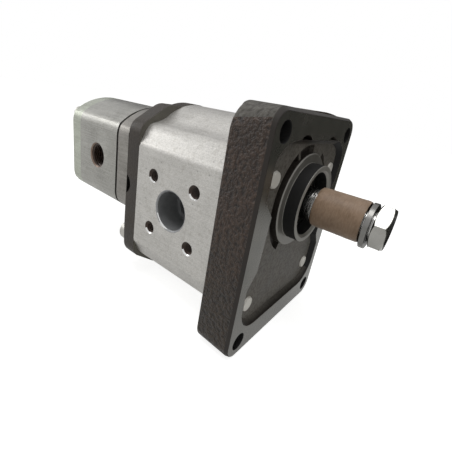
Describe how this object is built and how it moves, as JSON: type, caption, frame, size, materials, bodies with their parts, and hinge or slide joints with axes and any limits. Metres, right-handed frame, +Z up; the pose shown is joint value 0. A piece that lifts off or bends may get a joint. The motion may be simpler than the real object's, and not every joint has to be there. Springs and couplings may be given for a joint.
{
  "type": "tandem external gear pump",
  "caption": "Tandem gear pump with a rectangular cast flange, spigot, tapered threaded shaft, a large extruded section and a small one behind it.",
  "frame": {"origin": "on the drive shaft's axis, in the machined face of the mounting flange", "axes": "+X out along the drive shaft, -Y to the inlet side, +Z up"},
  "size_m": [0.2881, 0.1204, 0.1513],
  "materials": {
    "cast_flange": "rough sand casting with machined faces",
    "cast_plate": "sand casting with machined joint faces",
    "extruded_aluminium": "matt extruded skin",
    "rear_aluminium": "matt extruded skin",
    "cover_aluminium": "yellow chromated",
    "gear_steel": "ground and case-hardened",
    "bolt_steel": "zinc plated",
    "nut_steel": "bright zinc plated",
    "dark_steel": "oiled black",
    "block_alloy": "fine turned",
    "bush_bronze": "plain bearing bronze",
    "seal_rubber": "matt moulded rubber",
    "backup_plastic": "matt moulded plastic",
    "sleeve_card": "waxed brown paper tube"
  },
  "bodies": {
    "housing": {"front_flange": "cast_flange", "shaft_seal": "seal_rubber", "seal_retaining_ring": "dark_steel", "main_body": "extruded_aluminium", "main_front_block": "block_alloy", "main_rear_block": "block_alloy", "main_bushes": "bush_bronze", "main_block_seals": "seal_rubber", "main_backup_rings": "backup_plastic", "main_body_seals": "seal_rubber", "main_dowels": "dark_steel", "main_bolts": "bolt_steel", "intermediate_plate": "cast_plate", "stage_seal": "seal_rubber", "coupling_housing": "rear_aluminium", "housing_seal": "seal_rubber", "rear_body": "rear_aluminium", "rear_end_cover": "cover_aluminium", "rear_front_block": "block_alloy", "rear_rear_block": "block_alloy", "rear_bushes": "bush_bronze", "rear_block_seals": "seal_rubber", "rear_backup_rings": "backup_plastic", "rear_body_seals": "seal_rubber", "rear_dowels": "dark_steel", "rear_bolts": "bolt_steel", "rear_bolt_washers": "bolt_steel"},
    "drive_train": {"main_drive_shaft": "gear_steel", "drive_coupling": "dark_steel", "rear_drive_gear": "gear_steel", "shaft_key": "dark_steel", "shaft_washer": "nut_steel", "shaft_nut": "nut_steel", "shaft_sleeve": "sleeve_card"},
    "main_driven": {"main_driven_gear": "gear_steel"},
    "rear_driven": {"rear_driven_gear": "gear_steel"}
  },
  "joints": [
    {"name": "drive_spin", "type": "hinge", "parent": "housing", "child": "drive_train", "pos_m": [0, 0, 0], "axis": [1, 0, 0], "continuous": true},
    {"name": "main_driven_spin", "type": "hinge", "parent": "housing", "child": "main_driven", "pos_m": [0, 0, -0.044], "axis": [1, 0, 0], "continuous": true},
    {"name": "rear_driven_spin", "type": "hinge", "parent": "housing", "child": "rear_driven", "pos_m": [0, 0, -0.022], "axis": [1, 0, 0], "continuous": true}
  ],
  "couplings": [
    {"joint": "main_driven_spin", "follows": "drive_spin", "ratio": -1},
    {"joint": "rear_driven_spin", "follows": "drive_spin", "ratio": -1}
  ]
}
